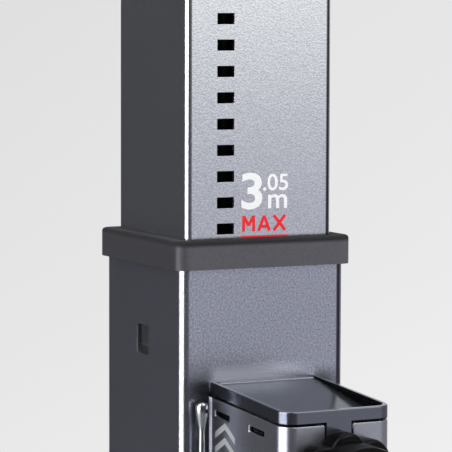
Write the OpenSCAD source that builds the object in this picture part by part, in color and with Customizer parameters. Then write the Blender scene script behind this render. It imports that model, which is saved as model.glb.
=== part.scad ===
// Height-adjustable telescoping post with a slotted rack, a spring latch and a screw clamp.
// Origin: centre of the foot plate's underside. +Z up, the slotted front faces -Y.
// Drawn at full height, with the inner post on its travel stop.

/* [Posts] */
// Outside width of the lower, outer post
outer_w = 101; // [99:0.5:106]
// Wall of the outer post
outer_wall = 3; // [2.5:0.5:3.5]
// Outside corner radius of the outer post
outer_r = 5; // [4:0.5:8]
// Space between the posts, which the guides fill
guide_space = 2.5; // [2.25:0.25:4]
// Wall of the inner post
inner_wall = 2.5; // [2:0.5:4]
// Outside corner radius of the inner post
inner_r = 3.5; // [3:0.5:6]
// Height of the outer post's mouth, at the top of the collar
mouth_z = 930; // [910:5:1100]
// Length of inner post that stays below the mouth at full height
overlap = 258; // [240:1:300]
// Length of inner post above the mouth at full height
head_h = 870; // [860:5:1000]

/* [Rack] */
// Width of a rack slot
slot_w = 10.5; // [9:0.5:13]
// Height of a rack slot
slot_h = 6.1; // [5.5:0.1:8]
// Distance from one slot to the next
slot_pitch = 14.4; // [13.8:0.1:15]
// Distance of the slot column from the middle of the front face
rack_x = 21.2; // [19:0.2:24]
// Rise of the first bare slot above the mouth at full height
slot_rise = 2.2; // [1:0.1:6]
// Number of height steps
steps = 42; // [20:1:43]

/* [Collar and guides] */
// Wall of the collar's skirt
collar_wall = 3.3; // [2.5:0.1:5]
// Height of the collar
collar_h = 16; // [12:1:24]
// Thickness of the collar's top
collar_top = 2; // [1.5:0.5:3]
// Rounding of the collar's top edge
collar_round = 2; // [1:0.5:3]
// Height of the upper guide bush
bush_h = 72; // [68:1:75]
// Thickness of the flange on the upper guide bush
bush_flange = 1.5; // [1:0.5:2]
// Sliding gap between a guide and the post that slides past it
slide_gap = 0.35; // [0.3:0.05:0.5]
// Gap between a guide and the post that holds it
seat_gap = 0.2; // [0.1:0.05:0.3]
// Height of the guide shoe at the inner post's lower end
shoe_h = 60; // [40:1:80]
// Thickness of the guide shoe's floor
shoe_floor = 3; // [2:0.5:5]
// Width of the clip window in each side of the outer post
clip_w = 15.2; // [12:0.2:20]
// Height of the clip window
clip_h = 16.5; // [12:0.5:20]
// Drop from the mouth to the top of the clip window
clip_drop = 51; // [40:1:52]

/* [Housing] */
// Width of the latch housing
house_w = 66; // [60:1:74]
// Depth of the latch housing in front of the outer post
house_d = 86.5; // [80:0.5:96]
// Drop from the mouth to the rear edge of the lid
lid_drop = 78; // [76:0.5:79.5]
// Height of the housing at its rear, with the lid
house_h = 117; // [115:1:130]
// Radius of the upright front corners
house_r = 9; // [6:0.5:12]
// Sheet thickness of the housing
sheet = 2; // [1.5:0.5:2.5]
// Forward tilt of the lid, in degrees
lid_tilt = 3.5; // [1:0.5:5]
// Further tilt of the tray inside the lid's rim, in degrees
tray_tilt = 5; // [0:0.5:6]
// Height of the lid's rim
rim_h = 7.5; // [6:0.5:10]
// Thickness of the lid's rim
rim_t = 3; // [2.5:0.5:4]
// Gap at a seam that closes without touching
seam = 0.4; // [0.3:0.1:0.8]
// Length of a snap slot in the housing's sides
snap_w = 17.2; // [12:0.2:20]
// Height of a snap slot
snap_h = 3.1; // [2.5:0.1:4]
// Width of the lid's front tab
tab_w = 16; // [14:1:20]

/* [Latch] */
// Diameter of the latch shaft
shaft_d = 10; // [8:0.5:12]
// Distance of the latch shaft in front of the outer post
shaft_out = 9.5; // [9.5:0.5:14]
// Rise from the latch shaft to the top of the latch nose
latch_rise = 55.5; // [50:0.5:57]
// Radius of the pawl's hub
pawl_hub_r = 8; // [7:0.5:9]
// Distance from the housing's side to the middle of the lever
lever_out = 8; // [8:0.5:12]
// Diameter of the lever's bar
lever_d = 3.8; // [3.4:0.2:6]
// Diameter of the lever's round end
lever_head_d = 7.4; // [7:0.2:12]
// Rise from the latch shaft to the middle of the lever's round end
lever_rise = 71; // [60:0.5:90]

/* [Clamp] */
// Drop from the mouth to the clamp screw
clamp_drop = 127; // [126:0.5:131]
// Diameter of the clamp screw
stud_d = 10; // [8:1:12]
// Side of the square clamp pad
pad_w = 22; // [18:1:24]
// Radius of the knob over its lobes
knob_r = 33; // [30:0.5:36]
// Number of lobes on the knob
knob_lobes = 9; // [7:1:11]
// Angle at which the knob comes to rest, in degrees
knob_angle = 3; // [0:1:40]
// Thickness of the knob's lobed rim
rim_knob_t = 12; // [10:1:15]
// Length of the knob over its boss
knob_t = 29; // [26:1:32]
// Radius of the boss at its front
boss_r = 28; // [26:0.5:28]

/* [Foot and head] */
// Width of the square foot plate
foot_w = 190; // [180:5:240]
// Thickness of the foot plate
foot_t = 8; // [6:1:12]
// Distance between the foot plate's bolt holes
foot_pitch = 150; // [146:2:156]
// Diameter of the foot plate's bolt holes
foot_hole_d = 14; // [11:1:18]
// Bore of the cross tubes that carry what stands on the post
arm_bore_d = 12.5; // [10:0.5:14]
// Outside diameter of the cross tubes
arm_tube_d = 18; // [16:1:20]
// Distance between the two cross tubes
arm_pitch = 100; // [80:5:120]
// Drop from the post's top to the upper cross tube
arm_drop = 35; // [25:1:45]

/* [Gas spring] */
// Outside diameter of the cylinder
gas_d = 28; // [22:1:40]
// Wall of the cylinder
gas_wall = 3; // [2:0.5:4]
// Diameter of the piston rod
rod_d = 10; // [8:1:14]
// Drop from the post's top to the cylinder's bolt
gas_drop = 220; // [200:5:240]
// Diameter of the bolt and the pin that hold the gas spring
gas_pin_d = 8; // [6:1:10]

/* [Hidden] */
$fn = 48;
fit = 0.05;
eps = 0.01;

// Heights and planes shared by several pieces
travel = steps * slot_pitch;
inner_w = outer_w - 2 * (outer_wall + guide_space);
post_bottom_z = mouth_z - overlap;
post_top_z = mouth_z + head_h;
outer_top_z = mouth_z - collar_top - bush_flange;
outer_face = outer_w / 2;
inner_face = inner_w / 2;
outer_in = outer_face - outer_wall;
outer_in_r = max(outer_r - outer_wall, 0.5);
bare_slot_z = mouth_z + slot_rise;
// slots from the latched one up to the first bare one
latch_slot = 8;
latch_slot_z = bare_slot_z - latch_slot * slot_pitch;
nose_z = latch_slot_z + slot_h - 0.1;
shaft_y = -outer_face - shaft_out;
shaft_z = nose_z - latch_rise;
clamp_z = mouth_z - clamp_drop;
front_y = -outer_face - house_d;
lid_z = mouth_z - lid_drop;
house_bottom_z = lid_z - house_h;
side_x = house_w / 2;

// Opening in the outer post's front wall, for the latch and the clamp pad
window_left = -rack_x - slot_w / 2 - 2;
window_right = pad_w / 2 + 2;
window_top_z = nose_z + 5;
window_bottom_z = clamp_z - pad_w / 2 - 2;

// Screws that hold the housing, on flanges folded inwards
flange_w = 10;
flange_h = 12;
screw_d = 5;
screw_x = side_x - sheet - flange_w / 2;
screw_rows = [house_bottom_z + 12, lid_z - 13];

// ---- shared shapes ----

// Rectangle with round corners, built from true arcs
module round_rect(w, d, r) {
    square([w - 2 * r, d], center = true);
    square([w, d - 2 * r], center = true);
    for (sx = [-1, 1], sy = [-1, 1])
        translate([sx * (w / 2 - r), sy * (d / 2 - r)]) circle(r);
}

// Square tube from z0 to z1
module square_tube(w, r, wall, z0, z1) {
    translate([0, 0, z0]) linear_extrude(z1 - z0) difference() {
        round_rect(w, w, r);
        round_rect(w - 2 * wall, w - 2 * wall, max(r - wall, 0.5));
    }
}

// Cylinder along +X from x0 to x1, at height z and depth y
module x_rod(d, x0, x1, y, z) {
    translate([x0, y, z]) rotate([0, 90, 0]) cylinder(d = d, h = x1 - x0);
}

// Cylinder along +Y from y0 to y1, at x and height z
module y_rod(d, y0, y1, x, z) {
    translate([x, y1, z]) rotate([90, 0, 0]) cylinder(d = d, h = y1 - y0);
}

// Extrudes a (y, z) outline along X, centred on x
module side_plate(x, t) {
    translate([x - t / 2, 0, 0]) rotate([90, 0, 90]) linear_extrude(t) children();
}

// ---- foot ----

module foot_plate() {
    color("#2b2b2e") difference() {
        linear_extrude(foot_t) round_rect(foot_w, foot_w, 12);
        for (sx = [-1, 1], sy = [-1, 1])
            translate([sx * foot_pitch / 2, sy * foot_pitch / 2, -1])
                cylinder(d = foot_hole_d, h = foot_t + 2);
    }
}

// Four webs between the plate and the post, clear of the bolt heads
gusset_t = 6;
gusset_out = min(34, foot_w / 2 - outer_face - 6);
gusset_h = 60;
module foot_gussets() {
    color("#2b2b2e") for (a = [0:90:270])
        rotate([0, 0, a]) translate([gusset_t / 2, outer_face, foot_t])
            rotate([90, 0, -90]) linear_extrude(gusset_t)
                polygon([[0, 0], [-gusset_out, 0], [-gusset_out, 6], [-8, gusset_h], [0, gusset_h]]);
}

// ---- outer post ----

stop_screw_d = 8;
stop_x = 20;
stop_z = post_bottom_z + shoe_h + stop_screw_d / 2 + 0.3;
module outer_post() {
    color("#7f8087") difference() {
        square_tube(outer_w, outer_r, outer_wall, foot_t, outer_top_z);
        // clip windows, left and right
        translate([-outer_face - 1, -clip_w / 2, mouth_z - clip_drop - clip_h])
            cube([outer_w + 2, clip_w, clip_h]);
        // latch and clamp window
        translate([window_left, -outer_face - 1, window_bottom_z])
            cube([window_right - window_left, outer_wall + 2, window_top_z - window_bottom_z]);
        // housing screws
        for (sx = [-1, 1], z = screw_rows)
            y_rod(screw_d, -outer_face - 1, -outer_in + 1, sx * screw_x, z);
        // travel stops
        for (sx = [-1, 1])
            y_rod(stop_screw_d, outer_in - 1, outer_face + 1, sx * stop_x, stop_z);
    }
}

// Button-head screws through the rear wall; the guide shoe comes up against their tips
module travel_stop_screws() {
    tip_y = outer_in - (outer_in - inner_face) + slide_gap;
    color("#b9bcc2") for (sx = [-1, 1]) {
        y_rod(stop_screw_d, tip_y, outer_face, sx * stop_x, stop_z);
        translate([sx * stop_x, outer_face, stop_z]) rotate([-90, 0, 0]) difference() {
            rotate_extrude() polygon([[0, 0], [7, 0], [7, 1.2], [5, 3.6], [0, 4.4]]);
            translate([0, 0, 2]) cylinder(d = 5, h = 4, $fn = 6);
        }
    }
}

// ---- guides and collar ----

// Liner between the posts, with a flange on the outer post's rim and a clip in each window
module guide_bush() {
    bush_out = 2 * (outer_in - seat_gap);
    bush_in = 2 * (inner_face + slide_gap);
    clip_clear = 0.6;
    clip_foot = 4;
    clip_back = 1.8;
    color("#8d9096") {
        difference() {
            union() {
                translate([0, 0, outer_top_z - bush_h]) linear_extrude(bush_h + eps)
                    round_rect(bush_out, bush_out, outer_in_r);
                translate([0, 0, outer_top_z]) linear_extrude(bush_flange)
                    round_rect(outer_w - 1, outer_w - 1, outer_r - 0.5);
                // clips, set back from the post's side faces
                translate([-(outer_face - clip_back), -clip_w / 2 + clip_clear,
                           mouth_z - clip_drop - clip_h + clip_foot])
                    cube([outer_w - 2 * clip_back, clip_w - 2 * clip_clear - 1,
                          clip_h - clip_foot - clip_clear]);
            }
            translate([0, 0, outer_top_z - bush_h - 1]) linear_extrude(bush_h + bush_flange + 2)
                round_rect(bush_in, bush_in, inner_r + slide_gap);
        }
    }
}

// Moulded cap over the outer post's rim; its top edge and corners are round
module collar() {
    collar_w = outer_w + 2 * (seat_gap + collar_wall);
    corner = outer_r + 2;
    color("#3a3a3f") difference() {
        hull() for (sx = [-1, 1], sy = [-1, 1])
            translate([sx * (collar_w / 2 - corner), sy * (collar_w / 2 - corner), mouth_z - collar_h])
                rotate_extrude($fn = 32) {
                    square([corner, collar_h - collar_round]);
                    square([corner - collar_round, collar_h]);
                    translate([corner - collar_round, collar_h - collar_round])
                        circle(collar_round, $fn = 24);
                }
        translate([0, 0, mouth_z - collar_h - 1]) linear_extrude(collar_h - collar_top + 1)
            round_rect(outer_w + 2 * seat_gap, outer_w + 2 * seat_gap, outer_r + seat_gap);
        translate([0, 0, mouth_z - collar_h - 1]) linear_extrude(collar_h + 2)
            round_rect(inner_w + 2 * slide_gap, inner_w + 2 * slide_gap, inner_r + slide_gap);
    }
}

// ---- inner post ----

arm_rows = [post_top_z - arm_drop, post_top_z - arm_drop - arm_pitch];
gas_top_z = post_top_z - gas_drop;
module inner_post() {
    color("#c4c5c9") difference() {
        square_tube(inner_w, inner_r, inner_wall, post_bottom_z, post_top_z);
        // rack of slots
        for (i = [-latch_slot - 1 : steps - latch_slot])
            translate([-rack_x - slot_w / 2, -inner_face - 1, bare_slot_z + i * slot_pitch])
                cube([slot_w, inner_wall + 2, slot_h]);
        // cross tubes and the gas spring's bolt
        for (z = arm_rows) x_rod(arm_tube_d, -inner_face - 1, inner_face + 1, 0, z);
        x_rod(gas_pin_d + 2 * fit, -inner_face - 1, inner_face + 1, 0, gas_top_z);
        // holes that the guide shoe snaps into
        x_rod(shoe_boss_d + 2 * seat_gap, -inner_face - 1, inner_face + 1, 0, post_bottom_z + shoe_h / 2);
    }
}

// Sleeve on the inner post's lower end, snapped into a hole in each side
shoe_boss_d = 12;
module guide_shoe() {
    shoe_out = 2 * (outer_in - slide_gap);
    shoe_in = 2 * (inner_face + seat_gap);
    bore_w = inner_w - 2 * inner_wall - 6;
    color("#3a3a3f") {
        difference() {
            translate([0, 0, post_bottom_z - shoe_floor]) linear_extrude(shoe_h + shoe_floor)
                round_rect(shoe_out, shoe_out, outer_in_r);
            translate([0, 0, post_bottom_z]) linear_extrude(shoe_h + 1)
                round_rect(shoe_in, shoe_in, inner_r + seat_gap);
            translate([0, 0, post_bottom_z - shoe_floor - 1]) linear_extrude(shoe_floor + 2)
                round_rect(bore_w, bore_w, 6);
        }
        for (s = [-1, 1]) mirror([s < 0 ? 1 : 0, 0, 0])
            x_rod(shoe_boss_d, inner_face - inner_wall, inner_face + seat_gap + eps, 0,
                  post_bottom_z + shoe_h / 2);
    }
}

// Plug that closes the inner post, with a rim that covers the tube's end
module head_cap() {
    plug_w = inner_w - 2 * inner_wall - 2 * seat_gap;
    plug_r = max(inner_r - inner_wall, 0.5);
    color("#3a3a3f") {
        hull() for (sx = [-1, 1], sy = [-1, 1])
            translate([sx * (inner_face - inner_r), sy * (inner_face - inner_r), post_top_z])
                rotate_extrude($fn = 32) {
                    square([inner_r, 3]);
                    square([inner_r - 1.5, 4.5]);
                    translate([inner_r - 1.5, 3]) circle(1.5, $fn = 24);
                }
        translate([0, 0, post_top_z - 14]) linear_extrude(14 + eps) difference() {
            round_rect(plug_w, plug_w, plug_r);
            round_rect(plug_w - 5, plug_w - 5, plug_r);
        }
    }
}

// Steel tubes across the post, so that a bolt can be tightened without crushing it
module arm_tubes() {
    color("#b9bcc2") for (z = arm_rows) difference() {
        x_rod(arm_tube_d, -inner_face, inner_face, 0, z);
        x_rod(arm_bore_d, -inner_face - 1, inner_face + 1, 0, z);
    }
}

// ---- gas spring, hung with its rod down ----

eye_r = gas_pin_d / 2 + 5;
eye_w = 12;
clevis_z = foot_t + eye_r + 8;
rod_out_z = clevis_z + eye_r + 6;
cylinder_bottom_z = rod_out_z + travel + 8;
piston_t = 14;
gland_t = 12;
module gas_spring_clevis() {
    ear_t = 6;
    gap = eye_w + 0.6;
    color("#2b2b2e") difference() {
        union() {
            translate([0, 0, foot_t]) linear_extrude(5) square([46, 40], center = true);
            for (s = [-1, 1]) side_plate(s * (gap + ear_t) / 2, ear_t) {
                translate([-eye_r - 3, foot_t]) square([2 * eye_r + 6, clevis_z - foot_t]);
                translate([0, clevis_z]) circle(eye_r + 3);
            }
        }
        x_rod(gas_pin_d + 2 * fit, -30, 30, 0, clevis_z);
    }
}

module clevis_pin() {
    color("#b9bcc2") {
        x_rod(gas_pin_d, -12.3, 12.3 + 3, 0, clevis_z);
        x_rod(gas_pin_d + 4, -12.3 - 3, -12.3, 0, clevis_z);
        x_rod(gas_pin_d + 3, 12.3 + 0.4, 12.3 + 1.6, 0, clevis_z);
    }
}

module gas_spring_rod() {
    color("#d0d2d6") {
        difference() {
            union() {
                x_rod(2 * eye_r, -eye_w / 2, eye_w / 2, 0, clevis_z);
                translate([0, 0, clevis_z]) cylinder(d = eye_w, h = eye_r + 5);
            }
            x_rod(gas_pin_d + 2 * fit, -7, 7, 0, clevis_z);
        }
        translate([0, 0, clevis_z + eye_r + 4])
            cylinder(d = rod_d, h = cylinder_bottom_z + gland_t - clevis_z - eye_r - 3);
        translate([0, 0, cylinder_bottom_z + gland_t + 1])
            cylinder(d = gas_d - 2 * gas_wall - 2 * fit, h = piston_t);
    }
}

module gas_spring_cylinder() {
    bore_top_z = gas_top_z - eye_r - 14;
    color("#222225") difference() {
        union() {
            translate([0, 0, cylinder_bottom_z]) cylinder(d = gas_d, h = bore_top_z + 8 - cylinder_bottom_z);
            translate([0, 0, bore_top_z + 7]) cylinder(d = 16, h = gas_top_z - bore_top_z - 7);
            x_rod(2 * eye_r, -8, 8, 0, gas_top_z);
        }
        translate([0, 0, cylinder_bottom_z - 1]) cylinder(d = rod_d + 2 * fit, h = gland_t + 2);
        translate([0, 0, cylinder_bottom_z + gland_t])
            cylinder(d = gas_d - 2 * gas_wall, h = bore_top_z - cylinder_bottom_z - gland_t);
        x_rod(gas_pin_d + 2 * fit, -9, 9, 0, gas_top_z);
    }
}

// Sleeves on the bolt that hold the cylinder's eye in the middle of the post
module cylinder_spacers() {
    end_x = inner_face - inner_wall - 0.2;
    color("#3a3a3f") for (s = [-1, 1]) mirror([s < 0 ? 1 : 0, 0, 0]) difference() {
        x_rod(gas_pin_d + 7, 8, end_x, 0, gas_top_z);
        x_rod(gas_pin_d + 2 * fit, 7, end_x + 1, 0, gas_top_z);
    }
}

nut_t = 6.5;
module cylinder_bolt() {
    color("#b9bcc2") {
        x_rod(gas_pin_d, -inner_face - eps, inner_face + nut_t + 1.5, 0, gas_top_z);
        translate([-inner_face, 0, gas_top_z]) rotate([0, -90, 0]) rotate([0, 0, 30])
            cylinder(d = 14.4, h = 5.3, $fn = 6);
    }
}

module cylinder_nut() {
    color("#b9bcc2") translate([inner_face, 0, gas_top_z]) rotate([0, 90, 0]) difference() {
        rotate([0, 0, 30]) cylinder(d = 14.4, h = nut_t, $fn = 6);
        translate([0, 0, -1]) cylinder(d = gas_pin_d + 2 * fit, h = nut_t + 2);
    }
}

// ---- latch housing ----

// Outline of the housing seen from above, drawn in by inset
module house_outline(inset) {
    r = house_r - inset;
    half = side_x - inset;
    y1 = front_y + inset;
    translate([-half, y1 + r]) square([2 * half, -outer_face - y1 - r]);
    translate([-half + r, y1]) square([2 * (half - r), r + eps]);
    for (s = [-1, 1]) translate([s * (half - r), y1 + r]) circle(r);
}

// Frame of the lid: origin at its rear top edge, tilted forwards
module lid_frame() {
    translate([0, -outer_face, lid_z]) rotate([lid_tilt, 0, 0]) children();
}

// Slab between two heights below the lid's top, parallel to the lid
module lid_slab(top, bottom) {
    lid_frame() translate([-side_x - 5, -house_d - 20, bottom])
        cube([house_w + 10, house_d + 40, top - bottom]);
}

// Snap slots, in the lid's frame: [start, length] measured forwards from the post
snap_starts = [7, 48];
snap_drop = 14.4;
module snap_slots(len, height, depth) {
    for (y = snap_starts) lid_frame()
        translate([-side_x - 1 + depth, -y - (snap_w + len) / 2, -snap_drop - (snap_h + height) / 2])
            cube([house_w + 2 - 2 * depth, len, height]);
}

// Outline of the lid's tab and of the notch it lies in, seen from the front
module tab_outline(half) {
    translate([-half, 0]) square([2 * half, clamp_drop - lid_drop]);
    circle(half);
}

// Flare along the rear edge of the housing's side, where the sheet is turned out against the
// post. It stops short of the rim of the shaft's bush, above and below.
flare_w = 1.2;
flare_lip = 0.3;
module edge_flare() {
    bush_room = shaft_d / 2 + bush_wall + 3;
    rises = [[house_bottom_z, shaft_z - bush_room], [shaft_z + bush_room, house_bottom_z + house_h]];
    for (rise = rises)
        translate([-side_x, -outer_face, rise[0]]) linear_extrude(rise[1] - rise[0]) difference() {
            translate([-flare_w, -flare_w]) square([flare_w + sheet / 2, flare_w]);
            translate([-flare_w, -flare_w]) circle(flare_w - flare_lip);
        }
}

module housing_body() {
    color("#6b6c72") difference() {
        union() {
            difference() {
                translate([0, 0, house_bottom_z]) linear_extrude(house_h) house_outline(0);
                translate([0, 0, house_bottom_z + sheet]) linear_extrude(house_h) house_outline(sheet);
            }
            // flanges folded inwards against the post
            for (sx = [-1, 1], z = screw_rows)
                translate([sx * (side_x - (sheet + flange_w) / 2), -outer_face - sheet / 2, z])
                    cube([sheet + flange_w, sheet, flange_h], center = true);
            edge_flare();
            mirror([1, 0, 0]) edge_flare();
            // peg that centres the latch spring
            translate([-rack_x, tail_y, house_bottom_z + sheet - eps]) cylinder(d = peg_d, h = peg_h);
        }
        lid_slab(60, -rim_h - seam);
        snap_slots(snap_w, snap_h, 0);
        // notch for the lid's tab
        translate([0, front_y + sheet + 1, clamp_z]) rotate([90, 0, 0])
            linear_extrude(sheet + 2) tab_outline(tab_w / 2 + seam);
        // shaft bushes
        x_rod(shaft_d + 4, -side_x - 1, side_x + 1, shaft_y, shaft_z);
        // screws and rivets
        for (sx = [-1, 1], z = screw_rows)
            y_rod(screw_d + 0.5, -outer_face - sheet - 1, -outer_face + 1, sx * screw_x, z);
        for (s = [-1, 1])
            y_rod(rivet_d, front_y - 1, front_y + sheet + 1, s * rivet_x, clamp_z);
    }
}

module housing_screws() {
    color("#b9bcc2") for (sx = [-1, 1], z = screw_rows) {
        y_rod(screw_d, -outer_face - sheet - eps, -outer_in, sx * screw_x, z);
        translate([sx * screw_x, -outer_face - sheet, z]) rotate([90, 0, 0])
            rotate_extrude() polygon([[0, 0], [4.6, 0], [4.6, 1.4], [3.2, 3], [0, 3.4]]);
    }
}

// One moulding: rim, sloping tray, front tab, and a lip with snap hooks inside the housing
module lid() {
    lip = sheet + seam;
    lip_depth = snap_drop + snap_h + 1.5;
    color("#4a4b50") {
        difference() {
            union() {
                // rim
                intersection() {
                    translate([0, 0, house_bottom_z]) linear_extrude(house_h + 10) difference() {
                        house_outline(0);
                        house_outline(rim_t);
                    }
                    lid_slab(0, -rim_h);
                }
                // rear edge of the rim, just clear of the post
                intersection() {
                    translate([-side_x, -outer_face - rim_t, house_bottom_z])
                        cube([house_w, rim_t, house_h + 10]);
                    lid_slab(-0.7, -rim_h);
                }
                // tray
                intersection() {
                    translate([0, 0, house_bottom_z]) linear_extrude(house_h + 10) house_outline(lip);
                    lid_frame() translate([-side_x, 0, -0.7]) rotate([tray_tilt, 0, 0])
                        translate([0, -house_d - 10, -sheet]) cube([house_w, house_d + 20, sheet]);
                }
                // lip
                intersection() {
                    translate([0, 0, house_bottom_z]) linear_extrude(house_h + 10) difference() {
                        house_outline(lip);
                        house_outline(lip + 1.6);
                        translate([-12, front_y - 1]) square([24, 20]);
                    }
                    lid_slab(-rim_h + 1, -lip_depth);
                }
                // snap hooks, set back from the housing's sides
                intersection() {
                    snap_slots(snap_w - 6, snap_h - 1.4, sheet - 0.4);
                    translate([0, 0, house_bottom_z]) linear_extrude(house_h) difference() {
                        square([2 * house_w, 4 * house_d], center = true);
                        house_outline(lip + 1);
                    }
                }
                // tab
                intersection() {
                    translate([0, front_y + sheet, clamp_z]) rotate([90, 0, 0])
                        linear_extrude(sheet) tab_outline(tab_w / 2);
                    lid_slab(-1, -house_h);
                }
            }
            // rear gap to the post
            translate([-house_w, -outer_face - seam, 0]) cube([2 * house_w, 20, post_top_z]);
            // clamp screw
            y_rod(stud_d + 1, front_y - 1, front_y + 20, 0, clamp_z);
            // folded flanges of the housing
            for (sx = [-1, 1], z = screw_rows)
                translate([sx * (side_x - (sheet + flange_w) / 2), -outer_face, z])
                    cube([sheet + flange_w + 2, 2 * sheet + 8, flange_h + 2], center = true);
        }
    }
}

// ---- clamp ----

plate_w = 50;
plate_h = 30;
plate_t = 3;
rivet_d = 5;
rivet_x = 19.5;
washer_t = 1.6;
module nut_plate() {
    color("#b9bcc2") difference() {
        translate([-plate_w / 2, front_y + sheet, clamp_z - plate_h / 2])
            cube([plate_w, plate_t, plate_h]);
        y_rod(stud_d + 1, front_y, front_y + 10, 0, clamp_z);
        for (s = [-1, 1]) y_rod(rivet_d, front_y, front_y + 10, s * rivet_x, clamp_z);
    }
}

module nut_plate_rivets() {
    color("#b9bcc2") for (s = [-1, 1]) {
        y_rod(rivet_d, front_y - eps, front_y + sheet + plate_t + 1.5, s * rivet_x, clamp_z);
        y_rod(8, front_y - 1.4, front_y, s * rivet_x, clamp_z);
        y_rod(8, front_y + sheet + plate_t, front_y + sheet + plate_t + 1.5, s * rivet_x, clamp_z);
    }
}

clamp_nut_t = 8;
module clamp_nut() {
    y0 = front_y + sheet + plate_t;
    color("#b9bcc2") difference() {
        translate([0, y0 + clamp_nut_t, clamp_z]) rotate([90, 0, 0])
            cylinder(d = stud_d * 1.7 / cos(30), h = clamp_nut_t, $fn = 6);
        y_rod(stud_d + 2 * fit, y0 - 1, y0 + clamp_nut_t + 1, 0, clamp_z);
    }
}

module knob_washer() {
    color("#b9bcc2") difference() {
        y_rod(28, front_y - washer_t, front_y, 0, clamp_z);
        y_rod(stud_d + 1, front_y - washer_t - 1, front_y + 1, 0, clamp_z);
    }
}

pad_t = 6;
pad_y = -inner_face - 0.3;
socket_t = 6;
module clamp_pad() {
    color("#2a2a2c") difference() {
        union() {
            translate([0, pad_y - pad_t / 2, clamp_z]) cube([pad_w, pad_t, pad_w], center = true);
            y_rod(stud_d + 8, pad_y - pad_t - socket_t, pad_y - pad_t + eps, 0, clamp_z);
        }
        y_rod(stud_d + 2 * fit, pad_y - pad_t - socket_t - 1, pad_y - pad_t, 0, clamp_z);
    }
}

// Screw, drawn clamped: its tip seats in the pad's socket
knob_back_y = front_y - washer_t;
hub_t = 0.4;
module clamp_stud() {
    color("#b9bcc2") y_rod(stud_d, knob_back_y - hub_t - 12, pad_y - pad_t, 0, clamp_z);
}

// Knob: a lobed rim and a round boss, dished in front for the cap
cap_t = 5;
dish_t = 3;
dish_r = boss_r - 3;
module clamp_knob() {
    lobe_r = 0.327 * knob_r;
    root_r = 0.815 * knob_r;
    bevel = 1.5;
    color("#1d1d1f") knob_frame() difference() {
        union() {
            translate([0, 0, -hub_t]) cylinder(d = 26, h = hub_t + 1);
            // lobed rim, drawn in at both edges
            for (layer = [[0, rim_knob_t, bevel], [bevel, rim_knob_t - 2 * bevel, 0]])
                translate([0, 0, layer[0]]) linear_extrude(layer[1]) {
                    circle(root_r - layer[2]);
                    for (i = [0 : knob_lobes - 1]) rotate(i * 360 / knob_lobes)
                        translate([-(knob_r - lobe_r), 0]) circle(lobe_r - layer[2]);
                }
            translate([0, 0, rim_knob_t - 1])
                cylinder(r1 = boss_r + 0.5, r2 = boss_r, h = knob_t - rim_knob_t);
            translate([0, 0, knob_t - 1]) cylinder(r1 = boss_r, r2 = boss_r - 1, h = 1);
        }
        translate([0, 0, knob_t - dish_t]) cylinder(r1 = dish_r - 3, r2 = dish_r, h = dish_t + eps);
        translate([0, 0, knob_t - dish_t - cap_t]) cylinder(d = cap_d + 0.4, h = cap_t + 1);
        translate([0, 0, -hub_t - 1]) cylinder(d = stud_d, h = hub_t + 13);
    }
}

// Frame of the knob: origin on its back face, +Z out of the housing
module knob_frame() {
    translate([0, knob_back_y - hub_t, clamp_z]) rotate([90, 90 - knob_angle, 0]) children();
}

cap_d = 29.6;
module knob_cap() {
    r = cap_d / 2;
    color("#1d1d1f") knob_frame() translate([0, 0, knob_t - dish_t - cap_t])
        rotate_extrude() polygon([[0, 0], [r, 0], [r, 3], [r - 1.4, cap_t - 0.8], [0, cap_t]]);
}

// ---- latch ----

bush_wall = 2;
bush_rim = 1.4;
module shaft_bushes() {
    color("#d8d4c8") for (s = [-1, 1]) mirror([s < 0 ? 1 : 0, 0, 0]) difference() {
        union() {
            x_rod(shaft_d + 2 * bush_wall, side_x - sheet - 2, side_x, shaft_y, shaft_z);
            x_rod(shaft_d + 2 * bush_wall + 4, side_x, side_x + bush_rim, shaft_y, shaft_z);
        }
        x_rod(shaft_d + 2 * fit, side_x - 10, side_x + 10, shaft_y, shaft_z);
    }
}

lever_x = -side_x - lever_out;
hub_half = 5.2;
ring_w = 1.2;
ring_x = side_x + bush_rim + 0.3;
module latch_shaft() {
    color("#b9bcc2") difference() {
        x_rod(shaft_d, lever_x - hub_half - 0.5, ring_x + ring_w + 2, shaft_y, shaft_z);
        // groove for the retaining ring
        translate([ring_x, shaft_y, shaft_z]) rotate([0, 90, 0]) difference() {
            cylinder(d = shaft_d + 2, h = ring_w);
            translate([0, 0, -1]) cylinder(d = shaft_d - 2, h = ring_w + 2);
        }
    }
}

module shaft_ring() {
    color("#6a6c70") translate([ring_x + 0.05, shaft_y, shaft_z]) rotate([0, 90, 0]) difference() {
        cylinder(d = shaft_d + 6, h = ring_w - 0.1);
        translate([0, 0, -1]) cylinder(d = shaft_d - 2 + 2 * fit, h = ring_w + 2);
        translate([0, -1.5, -1]) cube([shaft_d, 3, ring_w + 2]);
    }
}

// Pawl: a strut whose nose fills one slot, flat on top and sloped underneath, and a tail
nose_tip_y = -inner_face + inner_wall + 1;
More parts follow.
